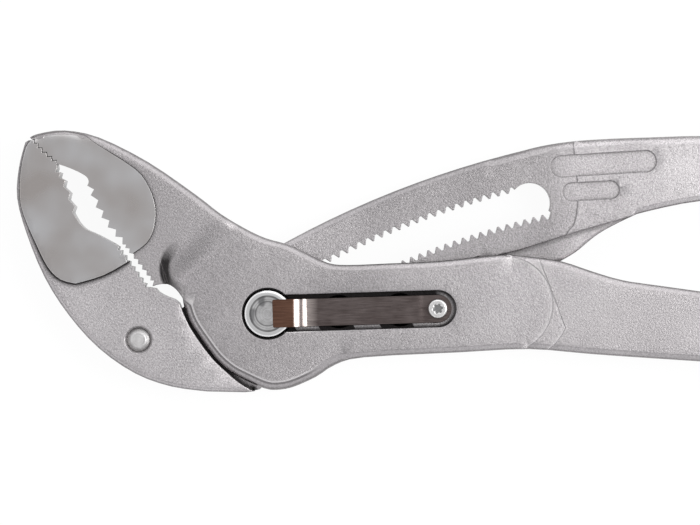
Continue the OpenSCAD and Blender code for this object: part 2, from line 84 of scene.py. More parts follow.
def put(tree, socket, value):
    """Links an output to a socket, or gives the socket a constant."""
    if isinstance(value, bpy.types.NodeSocket):
        tree.links.new(value, socket)
    else:
        socket.default_value = value


def new_node(tree, kind, inputs=None, **settings):
    """A node with its settings, which choose its sockets, and then its inputs."""
    node = tree.nodes.new(kind)
    for key, value in settings.items():
        setattr(node, key, value)
    for key, value in (inputs or {}).items():
        put(tree, node.inputs[key], value)
    return node


def map_range(value, low, high, start, end):
    """A map range node's inputs: from low to high, as the value goes from start to end."""
    return {"Value": value, "From Min": start, "From Max": end, "To Min": low, "To Max": high}


class Shader:
    """A material's node tree, with coordinates in millimetres."""

    def __init__(self, name):
        self.material = bpy.data.materials.new(name)
        self.material.use_nodes = True
        self.tree = self.material.node_tree
        self.tree.nodes.clear()
        self.surface = self.add("ShaderNodeBsdfPrincipled")
        self.add("ShaderNodeOutputMaterial", {"Surface": self.surface.outputs["BSDF"]})
        place = self.add("ShaderNodeTexCoord").outputs["Object"]
        self.point = self.add("ShaderNodeMapping", {"Vector": place, "Scale": (1 / MM,) * 3}).outputs["Vector"]

    def add(self, kind, inputs=None, **settings):
        return new_node(self.tree, kind, inputs, **settings)

    def set(self, **values):
        for key, value in values.items():
            put(self.tree, self.surface.inputs[key.replace("_", " ")], value)

    def math(self, operation, *values):
        return self.add("ShaderNodeMath", dict(enumerate(values)), operation=operation).outputs[0]

    def plus(self, *values):
        return reduce(partial(self.math, "ADD"), values)

    def times(self, *values):
        return reduce(partial(self.math, "MULTIPLY"), values)

    def most(self, *values):
        return reduce(partial(self.math, "MAXIMUM"), values)

    def weighted(self, *terms):
        """The sum of values, each times its weight."""
        return self.plus(*[self.times(value, weight) for value, weight in terms])

    def radius(self, x, y, centre=(0, 0)):
        dx, dy = self.math("SUBTRACT", x, centre[0]), self.math("SUBTRACT", y, centre[1])
        return self.math("SQRT", self.weighted((dx, dx), (dy, dy)))

    def noise(self, scale, detail=3.0, roughness=0.55, stretch=None, turn=0.0):
        point = self.point
        if stretch:
            mapping = {"Vector": point, "Rotation": (0, 0, turn), "Scale": stretch}
            point = self.add("ShaderNodeMapping", mapping).outputs["Vector"]
        inputs = {"Vector": point, "Scale": scale, "Detail": detail, "Roughness": roughness}
        return self.add("ShaderNodeTexNoise", inputs).outputs["Fac"]

    def ramp(self, factor, low, high, start=0.0, end=1.0):
        """Between two numbers or two colours, as the factor goes from start to end."""
        if isinstance(low, tuple):
            return self.mix(self.ramp(factor, 0.0, 1.0, start, end), (*low, 1), (*high, 1))
        return self.add("ShaderNodeMapRange", map_range(factor, low, high, start, end)).outputs["Result"]

    def spread(self, noise, low, high):
        """Between two numbers or two colours, over the middle of a noise."""
        return self.ramp(noise, low, high, *NOISE_MIDDLE)

    def within(self, value, low, high, soft=0.05):
        """1 between two numbers, 0 outside them."""
        rise = self.ramp(value, 0.0, 1.0, low - soft, low + soft)
        return self.times(rise, self.ramp(value, 1.0, 0.0, high - soft, high + soft))

    def mix(self, share, a, b):
        inputs = {"Factor": share, MIX_A: a, MIX_B: b}
        return self.add("ShaderNodeMix", inputs, data_type="RGBA").outputs[MIX_RESULT]

    def bump(self, height, strength, distance, normal=None):
        inputs = {"Height": height, "Strength": strength, "Distance": distance * MM}
        if normal is not None:
            inputs["Normal"] = normal
        return self.add("ShaderNodeBump", inputs).outputs["Normal"]

    def round_edges(self, radius):
        """The normal of edges rounded to a radius in millimetres."""
        return self.add("ShaderNodeBevel", {"Radius": self.times(radius, MM)}, samples=6).outputs["Normal"]

    def crease(self, reach, corner, open_face):
        """1 in the corners of a piece, 0 on its open faces."""
        node = self.add("ShaderNodeAmbientOcclusion", {"Distance": reach * MM}, samples=8, only_local=True)
        return self.ramp(node.outputs["AO"], 1.0, 0.0, corner, open_face)

    def tilt(self):
        """0 on faces that lie flat, 1 on faces that lean by 25 degrees or more."""
        normal = self.add("ShaderNodeNewGeometry").outputs["Normal"]
        upright = self.math("ABSOLUTE", self.split(normal)["Z"])
        return self.ramp(upright, 1.0, 0.0, 0.906, 0.996)

    def split(self, vector):
        return self.add("ShaderNodeSeparateXYZ", {"Vector": vector}).outputs


# --- materials ---------------------------------------------------------------

# painted shade: near black, put where shade falls in gaps, recesses and creases
PAINTED_SHADE = (0.012, 0.011, 0.011, 1)
DARKER_TONE = (0.05, 0.048, 0.048, 1)
# painted highlight: a light colour for lit ridges and edge lines
PAINTED_HIGHLIGHT = (0.66, 0.64, 0.64, 1)
BOX_ROOF = (7.9, 8.1)  # the upper cheek lies above this
BOLT_GAP = (5.16, 5.24)  # radius to which painted shade darkens the cheek round the bolt
RECESS_RUN, RECESS_HALF = (1.0, 37.0), 3.9  # the leaf spring's recess, along and across the spring
RECESS_LEVELS = (8.2, 9.95)
RECESS_LANDS = ((3.0, 7.6), (14.6, 19.8), (26.4, 33.0))  # raised lands in the recess
COVE_CENTRE = (-15.2, 9.0)  # the painted shade at the ramp's foot bends round this point
COVE_RAMP, COVE_WAY = (-12.6, 12.3), (0.659, -0.752)  # a point of the steep ramp, and the way across it
SHANK_END = (56.0, 62.0)  # where the darker tone on the shank ends
HANDLE_START = (36.0, 44.0)  # painted shade in the creases fades out here, towards the handles


def painted_shade_places(s, x, y, z):
    """Painted shade: the dark gap round the bolt, and the leaf spring's recess but for its raised lands."""
    ring = s.times(s.ramp(z, 0.0, 1.0, *BOX_ROOF), s.ramp(s.radius(x, y), 1.0, 0.0, *BOLT_GAP))
    from_tip = s.math("SUBTRACT", x, LEAF_START)
    along = s.weighted((from_tip, LEAF_COS), (y, LEAF_SIN))
    across = s.weighted((y, LEAF_COS), (from_tip, -LEAF_SIN))
    lean = s.plus(along, s.times(across, 0.5))
    raised = s.plus(*[s.within(lean, start, end) for start, end in RECESS_LANDS])
    raised = s.times(raised, s.ramp(across, 1.0, 0.0, -2.0, -1.0))
    recess = s.times(
        s.within(along, *RECESS_RUN),
        s.within(across, -RECESS_HALF, RECESS_HALF),
        s.within(z, *RECESS_LEVELS, 0.12),
        s.ramp(raised, 1.0, 0.0),
        s.ramp(along, 1.0, 0.35, 32.5, 34.5),
    )
    return ring, recess


def painted_cove_shade(s, x, y, height):
    """Painted shade at the foot of the steep ramp next to the bite, which bends round a point in the cheek,
    and painted shade on the ramp."""
    radius = s.radius(x, y, COVE_CENTRE)
    foot = s.times(
        s.ramp(radius, 0.0, 1.0, 3.5, 4.7),
        s.ramp(radius, 1.0, 0.0, 6.1, 6.6),
        s.ramp(x, 1.0, 0.0, -19.8, -16.0),
        s.ramp(y, 1.0, 0.0, 10.5, 15.0),
    )
    dx, dy = s.math("SUBTRACT", x, COVE_RAMP[0]), s.math("SUBTRACT", y, COVE_RAMP[1])
    over = s.weighted((dx, COVE_WAY[0]), (dy, COVE_WAY[1]))
    shade = s.times(
        s.ramp(over, 0.0, 0.32, -4.8, -2.0),
        s.ramp(over, 1.0, 0.0, -0.6, 1.0),
        s.ramp(x, 0.0, 1.0, -21.0, -19.0),
        s.ramp(x, 1.0, 0.0, -14.0, -7.0),
    )
    return s.times(s.most(foot, shade), s.within(height, 4.2, 5.3, 0.03))


def painted_rolled_edge_lines(s, x, y, height):
    """A painted highlight line and a painted shade line along the cheek's rolled edge next to the lower jaw."""
    place = s.times(s.within(x, -18.0, 9.0, 1.5), s.ramp(y, 1.0, 0.0, 2.0, 4.0))
    light = s.times(place, s.within(height, CHEEK - 0.13, CHEEK - 0.012, 0.01))
    line = s.times(place, s.within(height, CHEEK - 0.35, CHEEK - 0.15, 0.03))
    return light, line


def forged_steel(name, low, high, front):
    """Blasted forging with ground lands. The front arm also has painted shade in a cove, painted lines along a
    rolled edge and painted highlights on its steps towards the handles.
    """
    s = Shader(name)
    x, y, z = s.split(s.point)
    height = s.math("ABSOLUTE", s.math("SUBTRACT", z, MIDDLE))
    land = s.ramp(height, 0.0, 1.0, *LAND)
    grain = s.noise(2.6, 4, 0.65)
    fine = s.noise(6.5, 2, 0.5)
    cloud = s.noise(0.07, 2, 0.5)
    blotch = s.noise(0.10, 2, 0.45)
    blasted = s.spread(s.weighted((cloud, 0.2), (grain, 0.5), (fine, 0.3)), low, high)
    # darker towards the head on the front arm, and along the shank and on the jaw of the slotted arm
    if front:
        darker_share = s.ramp(x, 0.17, 0.0, 25.0, 55.0)
        crease = s.crease(1.1, 0.68, 0.965)
    else:
        shank = s.times(s.ramp(x, 0.0, 0.33, -10.0, 25.0), s.ramp(x, 1.0, 0.0, *SHANK_END))
        darker_share = s.most(shank, s.ramp(x, 0.10, 0.0, -16.0, -4.0))
        crease = s.crease(1.1, 0.80, 0.985)
    blasted = s.mix(darker_share, blasted, DARKER_TONE)
    # Painted shade in corners and creases from the piece's own occlusion, with the bolt's gap and the spring's
    # recess
    painted_crease_shade = s.times(crease, s.ramp(x, 0.95, 0.0 if front else 0.4, *HANDLE_START))
    dark = s.most(*painted_shade_places(s, x, y, z), painted_crease_shade)
    if front:
        # painted highlight: the creases of the steps towards the handles turn light
        blasted = s.mix(s.times(crease, s.ramp(x, 0.0, 0.7, 38.0, 44.0)), blasted, PAINTED_HIGHLIGHT)
        # painted highlight and painted shade: a light line and a dark line along the cheek's rolled edge
        light, line = painted_rolled_edge_lines(s, x, y, height)
        blasted = s.mix(s.times(light, 0.6), blasted, PAINTED_HIGHLIGHT)
        # painted shade at the ramp's foot and on the ramp, and the rolled edge's painted dark line
        dark = s.most(dark, s.times(painted_cove_shade(s, x, y, height), 0.96), s.times(line, 0.5))
    leaning = s.tilt()
    ground = s.spread(blotch, (0.355, 0.33, 0.315), (0.44, 0.44, 0.445))
    rough_blasted = s.ramp(leaning, s.spread(grain, 0.36, 0.52), 0.26)
    rough_ground = s.spread(blotch, 0.26, 0.34)
    scratch = s.noise(1.0, 4, 0.6, stretch=(0.25, 7.0, 1.0), turn=0.7)
    pits = s.times(s.weighted((grain, 0.7), (fine, 0.3)), s.ramp(land, 1.0, 0.05), s.ramp(leaning, 1.0, 0.35))
    relief = s.plus(pits, s.times(scratch, s.ramp(land, 0.0, 0.04)))
    s.set(
        Base_Color=s.mix(dark, s.mix(land, blasted, ground), PAINTED_SHADE),
        Metallic=1.0,
        Roughness=s.ramp(land, rough_blasted, rough_ground),
        Normal=s.bump(relief, 0.9, 0.12, s.round_edges(s.ramp(land, 0.3, 0.15))),
    )
    return s.material


def bolt_smudges_and_painted_light(s, z, radius, colour):
    """Smudges on the bolt's end, a painted highlight on its rim and painted shade in two grooves."""
    smudge = s.ramp(s.noise(0.42, 1, 0.4), 0.0, 0.75, 0.52, 0.66)
    colour = s.mix(smudge, colour, (0.13, 0.13, 0.132, 1))
    # painted highlight on the rounded rim
    colour = s.mix(s.ramp(radius, 0.0, 1.0, 3.62, 3.72), colour, (0.60, 0.60, 0.595, 1))
    # painted shade in the two turned grooves
    groove = s.most(s.within(radius, 3.3, 3.64), s.within(radius, 2.3, 2.5))
    return s.mix(s.times(groove, 0.7), colour, (0.10, 0.10, 0.10, 1))


def screw_star_painted_shade(s, z, radius, colour):
    """Painted shade in the star recess of the screw's head."""
    # painted shade: darker colour inside the recess
    star = s.times(s.ramp(z, 1.0, 0.0, 10.45, 10.6), s.ramp(radius, 1.0, 0.0, 1.1, 1.25))
    return s.mix(star, colour, (0.22, 0.22, 0.22, 1))


def turned_steel(name, low, high, roughness, rings, centre=(0, 0), marks_and_painted_light=None):
    """Turned steel with rings about a centre, which make up this share of its relief."""
    s = Shader(name)
    x, y, z = s.split(s.point)
    radius = s.radius(x, y, centre)
    inputs = {"W": radius, "Scale": 5.0, "Detail": 2.0}
    turned = s.add("ShaderNodeTexNoise", inputs, noise_dimensions="1D").outputs["Fac"]
    smear = s.noise(0.6, 3, 0.6)
    fine = s.noise(5.0, 2, 0.5)
    colour = s.spread(s.weighted((smear, 0.6), (turned, 0.4)), low, high)
    if marks_and_painted_light:
        colour = marks_and_painted_light(s, z, radius, colour)
    relief = s.weighted((turned, rings), (fine, 1.0 - rings))
    s.set(
        Base_Color=colour,
        Metallic=1.0,
        Roughness=s.spread(fine, *roughness),
        Normal=s.bump(relief, 0.35, 0.04, s.round_edges(0.3)),
    )
    return s.material


def dark_steel():
    s = Shader("dark_steel")
    smear = s.noise(0.8, 4, 0.6)
    s.set(
        Base_Color=s.spread(smear, (0.13, 0.125, 0.12), (0.24, 0.235, 0.23)),
        Metallic=1.0,
        Roughness=s.spread(smear, 0.30, 0.48),
        Normal=s.bump(s.noise(4.0, 3), 0.25, 0.04),
    )
    return s.material


def spring_wire():
    s = Shader("spring_wire")
    drawn = s.noise(3.0, 3, 0.6)
    s.set(
        Base_Color=s.spread(drawn, (0.34, 0.33, 0.32), (0.52, 0.51, 0.50)),
        Metallic=1.0,
        Roughness=s.spread(drawn, 0.22, 0.36),
        Normal=s.bump(drawn, 0.15, 0.03),
    )
    return s.material


def spring_blade():
    """A dark blade with a browner tip, with painted highlights at the two edges of its bend."""
    s = Shader("spring_blade")
    x = s.split(s.point)["X"]
    streak = s.noise(1.0, 4, 0.6, stretch=(0.35, 5.0, 1.0))
    tone = s.weighted((streak, 0.5), (s.noise(0.25, 2, 0.5), 0.5))
    blade = s.spread(tone, (0.060, 0.047, 0.044), (0.125, 0.104, 0.100))
    tip = s.spread(tone, (0.072, 0.036, 0.024), (0.136, 0.072, 0.050))
    # painted highlight at the bend's two edges, where the bend faces the light
    foot = s.times(s.within(x, 6.9, 20.0, 0.15), s.ramp(x, 0.8, 0.0, 7.4, 10.0))
    painted_bend_highlight = s.times(s.plus(s.within(x, 5.3, 6.3, 0.25), foot), s.spread(streak, 0.55, 1.0))
    colour = s.mix(s.ramp(x, 1.0, 0.0, 5.0, 5.8), blade, tip)
    s.set(
        Base_Color=s.mix(painted_bend_highlight, colour, (0.52, 0.46, 0.43, 1)),
        Metallic=1.0,
        Roughness=s.spread(streak, 0.24, 0.40),
        Normal=s.bump(streak, 0.18, 0.03),
    )
    return s.material


def grip_skin():
    s = Shader("grip")
    pebble = s.add("ShaderNodeTexVoronoi", {"Vector": s.point, "Scale": 2.6}, feature="SMOOTH_F1")
    cloud = s.noise(0.12, 3, 0.5)
    s.set(
        Base_Color=s.spread(cloud, (0.018, 0.020, 0.025), (0.034, 0.037, 0.044)),
        Roughness=s.spread(cloud, 0.42, 0.58),
        Normal=s.bump(pebble.outputs["Distance"], 0.35, 0.06),
    )
    return s.material


MATERIALS = {
    "forged_steel": forged_steel("forged_steel", (0.20, 0.189, 0.192), (0.465, 0.445, 0.449), front=True),
    "slotted_steel": forged_steel("slotted_steel", (0.19, 0.18, 0.183), (0.57, 0.546, 0.551), front=False),
    "bright_steel": turned_steel(
        "bright_steel", (0.30, 0.295, 0.29), (0.62, 0.617, 0.613), (0.09, 0.19), 0.7, marks_and_painted_light=bolt_smudges_and_painted_light
    ),
    "dark_steel": dark_steel(),
    "spring_wire": spring_wire(),
    "spring_blade": spring_blade(),
    "grip": grip_skin(),
    "pin_steel": turned_steel("pin_steel", (0.36, 0.35, 0.345), (0.60, 0.595, 0.59), (0.32, 0.5), 0.2, PIN_AT),
    "screw_steel": turned_steel(
        "screw_steel", (0.50, 0.49, 0.48), (0.74, 0.735, 0.73), (0.18, 0.3), 0.5, SCREW_AT, screw_star_painted_shade
    ),
}
OWN_FINISH = {  # nodes that look a little different from the rest of their slot
    "slotted_arm": "slotted_steel",
    "spring_anchor_pin": "pin_steel",
    "leaf_spring_screw": "screw_steel",
}


def dress(obj, finish):
    obj.data.materials.clear()
    obj.data.materials.append(MATERIALS[finish])


for part in frame["record"]["subparts"]:
    dress(nodes[part["node"]], OWN_FINISH.get(part["node"], part["material_slot"]))


# --- the bolt's end and the leaf spring --------------------------------------

TURNED_SIDES = 96
BLADE_SHARP = math.radians(28)


def new_piece(name, points, faces, slot):
    """A smooth mesh from points in millimetres."""
    mesh = bpy.data.meshes.new(name)
    mesh.from_pydata([tuple(c * MM for c in p) for p in points], [], faces)
    obj = bpy.data.objects.new(name, mesh)
    bpy.context.scene.collection.objects.link(obj)
    bm = bmesh.new()
    bm.from_mesh(mesh)
    bmesh.ops.recalc_face_normals(bm, faces=bm.faces)
    bm.to_mesh(mesh)
    bm.free()
    mesh.shade_smooth()
    dress(obj, slot)
    return obj


def tube(rings, sides):
    """The faces between rings of points, where point k of ring i has number i * sides + k."""
    faces = []
    for a in range(0, (rings - 1) * sides, sides):
        b = a + sides
        faces += [(a + i, b + i, b + (i + 1) % sides, a + (i + 1) % sides) for i in range(sides)]
    return faces


def turned(name, profile, slot):
    """A turned face: profile points are radius and height, from the middle outwards."""
    points = []
    for radius, height in profile[1:]:
        for i in range(TURNED_SIDES):
            a = 2 * math.pi * i / TURNED_SIDES
            points.append((radius * math.cos(a), radius * math.sin(a), height))
    faces = tube(len(profile) - 1, TURNED_SIDES)
    faces.append(tuple(range(len(points) - TURNED_SIDES, len(points))))
    faces += [(len(points), i, (i + 1) % TURNED_SIDES) for i in range(TURNED_SIDES)]
    points.append((0, 0, profile[0][1]))
    return new_piece(name, points, faces, slot)


def bolt_face():
    """The bolt's turned end: a dimple in the middle, three turned grooves and a rounded rim."""
    deep, top = 10.103, 10.122
    rim, rim_wide, rim_deep, skirt = 3.66, 1.255, 0.71, 1.3
    profile = [(0, deep), (0.25, deep), (0.36, top)]
    profile += [(2.3, top), (2.38, deep), (2.46, deep), (2.54, top)]
    profile += [(2.74, top), (2.8, deep), (2.88, top)]
    profile += [(3.3, top), (3.38, deep), (3.58, deep), (rim, top)]
    for i in range(1, 9):
        a = math.pi / 2 * i / 8
        profile.append((rim + rim_wide * math.sin(a), top - rim_deep + rim_deep * math.cos(a)))
    profile.append((rim + rim_wide, top - skirt))
    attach(turned("bolt_face", profile, "bright_steel"), "bolt")


def smooth_step(value, low, high):
    t = min(max((value - low) / (high - low), 0.0), 1.0)
    return t * t * (3 - 2 * t)


def leaf_blade():
    """The leaf spring as one bent blade: tip on the bolt, double bend, run, and round end under the screw."""
    run, half, thick, edge, corner = 32.915, 2.8, 0.5, 0.09, 0.3
    tip, tip_rise, blade, seat = 10.13, 0.03, 9.06, 9.0
    tip_end, bend_end, seat_start, seat_end = 3.9, 6.9, 28.9, 30.3
    stations = [0, 0.06, 0.15, corner] + [0.6 + 0.5 * i for i in range(6)] + [3.5 + 0.14 * i for i in range(27)]
    stations += [7.6 + 1.05 * i for i in range(20)] + [28.6 + 0.15 * i for i in range(14)] + [31.2, 32.1, run]
    stations += [run + half * math.sin(math.radians(a)) for a in range(6, 90, 6)]

    def level(u):
        start = tip + tip_rise * min(max(u, 0.0), tip_end)
        bend, step = smooth_step(u, tip_end, bend_end), smooth_step(u, seat_start, seat_end)
        return start + (blade - start) * bend + (seat - blade) * step

    def half_width(u):
        if u > run:
            return math.sqrt(max(half**2 - (u - run) ** 2, 0.01))
        if u < corner:
            return half - corner + math.sqrt(corner**2 - (corner - u) ** 2)
        return half

    points = []
    for u in stations:
        wide = half_width(u)
        slope = (level(u + 0.01) - level(u - 0.01)) / 0.02
        up = Vector((-slope, 1)).normalized()
        low = min(edge, wide * 0.4)
        section = [(-wide, low), (-wide + low, 0), (wide - low, 0), (wide, low)]
        section += [(v, thick - h) for v, h in reversed(section)]
        for v, h in section:
            a, z = u + up.x * h, level(u) + up.y * h
            points.append((LEAF_START + a * LEAF_COS - v * LEAF_SIN, a * LEAF_SIN + v * LEAF_COS, z))
    sides = len(section)
    faces = tube(len(stations), sides)
    faces += [tuple(range(sides)), tuple(range(len(points) - sides, len(points)))]
    obj = new_piece("leaf_blade", points, faces, "spring_blade")
    obj.data.set_sharp_from_angle(angle=BLADE_SHARP)
    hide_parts("leaf_spring")
    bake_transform(obj)


# --- the forged arms ---------------------------------------------------------

# The forged arms are drawn again with rounded edges: the upper and lower faces get rows of points along
# their edges, and each point sinks by the round's shape. Walls follow, because they share the points.

MOUTH = [  # edges in here stay sharp: the bite and the jaws' teeth
    (-49, 37.0), (-46.2, 31.5), (-43, 27.5), (-41, 20), (-38, 15), (-30, 9.5), (-24.5, 4),
    (-15.5, 1.2), (-15.8, 4.5), (-19.5, 7.2), (-22, 8), (-27, 14.5), (-32, 20.5), (-34, 28),
    (-38, 31), (-44, 33.6), (-47, 36),
]
HINGE_GAP = [  # the gap between the cheek and the lower jaw
    (-18.6, 2.6), (-16, -3), (-11.5, -9.4), (-8, -12.6), (-5, -14.9), (-2.4, -15.2), (0, -16), (6, -16),
    (16, -11), (14, -8), (8, -8), (-3, -9), (-14, 2.6),
]
SLOT_CENTRE = (95.4, -153.3)
SLOT_RADIUS = math.hypot(*SLOT_CENTRE)
SLOT_HALF, SLOT_START = 4.3, -8  # edges this close to the slot's arc, and right of this x, stay sharp
GUARD = (45, 28)  # the pinch guard lies right of and above this point

# Rounds: radii, and the shape of an edge as distances from it and depths, both as shares of the radius.
CHEEK_ROUND, FRONT_ROUND, GUARD_ROUND = 1.9, 1.25, 1.8
JAW_ROUND, STEP_ROUND = 0.2, 0.22
SLOTTED_ROUNDS = ((4, 0.8), (2, 1.2), (-MIDDLE, 0.6))  # above a height from the middle plane, this radius
SHALLOW, FAINT = 1.5, 0.3  # a lower wall than the first is a step in a face, and below the second stays sharp
EDGE = ((0, 0.08, 0.19, 0.35, 0.55, 0.75, 0.87, 1), (0.59, 0.477, 0.36, 0.2625, 0.1625, 0.0625, 0.017, 0))
WIDE_EDGE = ((0, 0.08, 0.2, 0.4, 0.6, 0.8, 0.93, 1), (0.6, 0.47, 0.365, 0.263, 0.161, 0.061, 0.009, 0))

FACE_UP, SAME_PLANE, WALL_UP = 0.88, 0.99999, 0.3  # cosines: a face lies flat, two share a plane, a wall stands
SLIVER = 0.2  # a plane of less area stays as it is
WELD, SAME_POINT = 0.002, 0.03  # points this close are one, in the arm and in a new plane
RIM_PART = 0.55  # longest edge along a rim
JAW_GRID, GRID = (1.2, 0.45), (3.1, 0.9)  # a grid's step, and how far it keeps from the border
JAWS_END = -18.0  # the grid is denser on the jaws, left of this x
LEVEL_REACH = 0.85  # an edge also sinks the points of planes up to this far above or below it
CHUNK = 1000  # points that are measured at once
FORGING_SHARP = math.radians(34)

Rim = namedtuple("Rim", "a b radius depth")
Plane = namedtuple("Plane", "normal origin points triangles drop owners")


def inside(points, ends):
    """Which points lie inside the closed loops that segments make."""
    x, y = points[:, 0, None], points[:, 1, None]
    x0, y0, x1, y1 = ends[None, :, 0, 0], ends[None, :, 0, 1], ends[None, :, 1, 0], ends[None, :, 1, 1]
    hit = np.zeros(len(points), int)
    for i in range(0, len(points), CHUNK):
        k = slice(i, i + CHUNK)
        cross = (y0 > y[k]) != (y1 > y[k])
        with np.errstate(divide="ignore", invalid="ignore"):
            at = x0 + (y[k] - y0) * (x1 - x0) / (y1 - y0)
        hit[k] = (cross & (x[k] < at)).sum(1)
    return hit % 2 == 1


def distance(points, ends):
    """From each point to the nearest segment."""
    out = np.full(len(points), 1e9)
    a, d = ends[:, 0], ends[:, 1] - ends[:, 0]
    square = np.maximum((d * d).sum(1), 1e-12)
    for i in range(0, len(points), CHUNK):
        p = points[i : i + CHUNK, None, :] - a[None]
        t = np.clip((p * d).sum(2) / square, 0, 1)
        out[i : i + CHUNK] = np.sqrt((((p - t[:, :, None] * d) ** 2).sum(2)).min(1))
    return out


def lies_in(outline, at):
    loop = np.array(outline, float)
    return inside(np.array([at[:2]], float), np.stack([loop, np.roll(loop, -1, 0)], 1))[0]


def edge_round(node, at, depth, height):
    """The radius of an edge, by how deep the wall below it is and where it lies."""
    if depth < SHALLOW:
        return 0.0 if depth < FAINT else min(0.5 * depth, STEP_ROUND)
    if lies_in(MOUTH, at):
        return 0.0
    if lies_in(HINGE_GAP, at):
        return CHEEK_ROUND if node == "front_arm" else JAW_ROUND
    if node == "front_arm":
        return FRONT_ROUND
    from_slot = abs(math.hypot(at[0] - SLOT_CENTRE[0], at[1] - SLOT_CENTRE[1]) - SLOT_RADIUS)
    if from_slot < SLOT_HALF and at[0] > SLOT_START:
        return 0.0
    if at[0] > GUARD[0] and at[1] > GUARD[1]:
        return GUARD_ROUND
    return next(radius for low, radius in SLOTTED_ROUNDS if height > low)


def edge_shape(radius):
    return WIDE_EDGE if radius > 1 else EDGE


def face_groups(bm, side):
    """The upper or lower faces, one list for each plane. Slivers are left as they are."""
    ours = {}
    for f in bm.faces:
        if side * f.normal.z > FACE_UP and side * (f.calc_center_median().z - MIDDLE) > 0:
            ours[f] = True
    groups = []
    while ours:
        seed, _ = ours.popitem()
        group, open_faces = [seed], [seed]
        while open_faces:
            for e in open_faces.pop().edges:
                for g in e.link_faces:
                    if g in ours and g.normal.dot(seed.normal) > SAME_PLANE:
                        del ours[g]
                        group.append(g)
                        open_faces.append(g)
        if sum(f.calc_area() for f in group) > SLIVER:
            groups.append(group)
    return groups


def split_edge(edge, parts):
    near, far = edge.verts
    for k in range(parts, 1, -1):
        near = bmesh.utils.edge_split(edge, near, 1 / k)[1]
        edge = next(e for e in near.link_edges if far in e.verts)


def split_rims(groups, member):
    """Parts the long edges round the planes."""
    edges = dict.fromkeys(e for g in groups for f in g for e in f.edges)
    for e in [e for e in edges if len({member.get(f) for f in e.link_faces}) > 1]:
        split_edge(e, math.ceil(e.calc_length() / RIM_PART))


def find_rims(node, side, group, own, member):
    """The edges round a plane, each with its radius and the depth of the wall below it."""
    rims = []
    for loop in [loop for f in group for loop in f.loops]:
        beyond = [f for f in loop.edge.link_faces if member.get(f) != own]
        if len(beyond) != 1:
            continue
        wall = beyond[0]
        a, b = loop.vert, loop.link_loop_next.vert
        middle = (a.co + b.co) / 2
        depth = max(side * (middle.z - v.co.z) for v in wall.verts)
        falls = depth > 0.02 and side * (middle.z - wall.calc_center_median().z) > 0
        radius = 0.0
        if falls and abs(wall.normal.z) < WALL_UP:
            radius = edge_round(node, middle, depth, side * (middle.z - MIDDLE))
        rims.append(Rim(a, b, radius, depth))
    return rims


def inner_points(side, rims, border):
    """Points inside a plane: rows along its rounded edges, and a grid that keeps clear of the border."""
    rows = []
    for (a, b), rim in zip(border, rims):
        if rim.radius:
            d = (b - a) / max(np.hypot(*(b - a)), 1e-9)
            inward = side * np.array([-d[1], d[0]])
            reach = [rim.radius * k for k in edge_shape(rim.radius)[0][1:]]
            rows += [(*((a + b) / 2 + inward * k), k) for k in reach]
    low, high = border.min((0, 1)), border.max((0, 1))
    jaws = (*JAW_GRID, low[0], min(high[0], JAWS_END))
    rest = (*GRID, max(low[0], JAWS_END), high[0])
    grid = []
    for step, clear, start, end in (jaws, rest):
        across = np.arange(low[1] + 0.42 * step, high[1], step)
        grid += [(x, y, clear) for x in np.arange(start + 0.36 * step, end, step) for y in across]
    points = np.array(rows + grid, float).reshape(-1, 3)
    points, clear = points[:, :2], points[:, 2]
    away = distance(points, border)
    points = points[inside(points, border) & (away > 0.85 * clear - 1e-6) & (away > 0.004)]
    _, first = np.unique(np.round(points / SAME_POINT), axis=0, return_index=True)
    return points[np.sort(first)]


def sunk(points, rounds):
    """How deep each point sinks below its plane, by the edges near it."""
    drop = np.zeros(len(points))
    for radius in {radius for _, radius in rounds}:
        ends = np.array([e for e, r in rounds if r == radius])
        away = np.minimum(distance(points, ends), radius)
        drop = np.maximum(drop, radius * np.interp(away / radius, *edge_shape(radius)))
    return drop


def dense_plane(side, group, rims, tall):
    """A plane drawn again with inner points, which its own steps and the tall edges near its level sink."""
    normal, origin = group[0].normal.copy(), group[0].verts[0].co.copy()
    corners = list(dict.fromkeys(v for rim in rims for v in (rim.a, rim.b)))
    index = {v: k for k, v in enumerate(corners)}
    border = np.array([[rim.a.co.xy, rim.b.co.xy] for rim in rims], float)
    rounds = [(ends, rim.radius) for ends, rim in zip(border, rims) if rim.radius and rim.depth < SHALLOW]
    for ends, radius, z in tall:
        if abs(z - origin.z) < LEVEL_REACH or abs(normal.z) < 0.9999:
            rounds.append((ends, radius))
    flat = np.concatenate([np.array([v.co.xy for v in corners], float), inner_points(side, rims, border)])
    edges = [(index[rim.a], index[rim.b]) for rim in rims]
    points, _, faces, sources, *_ = delaunay_2d_cdt([Vector(p) for p in flat], edges, [], 0, 1e-5)
    points = np.array([tuple(p) for p in points])
    triangles = np.array([f for f in faces if len(f) == 3])
    triangles = triangles[inside(points[triangles].mean(1), border)]
    owners = [next((corners[k] for k in source if k < len(corners)), None) for source in sources]
    return Plane(normal, origin, points, triangles, sunk(points, rounds), owners)


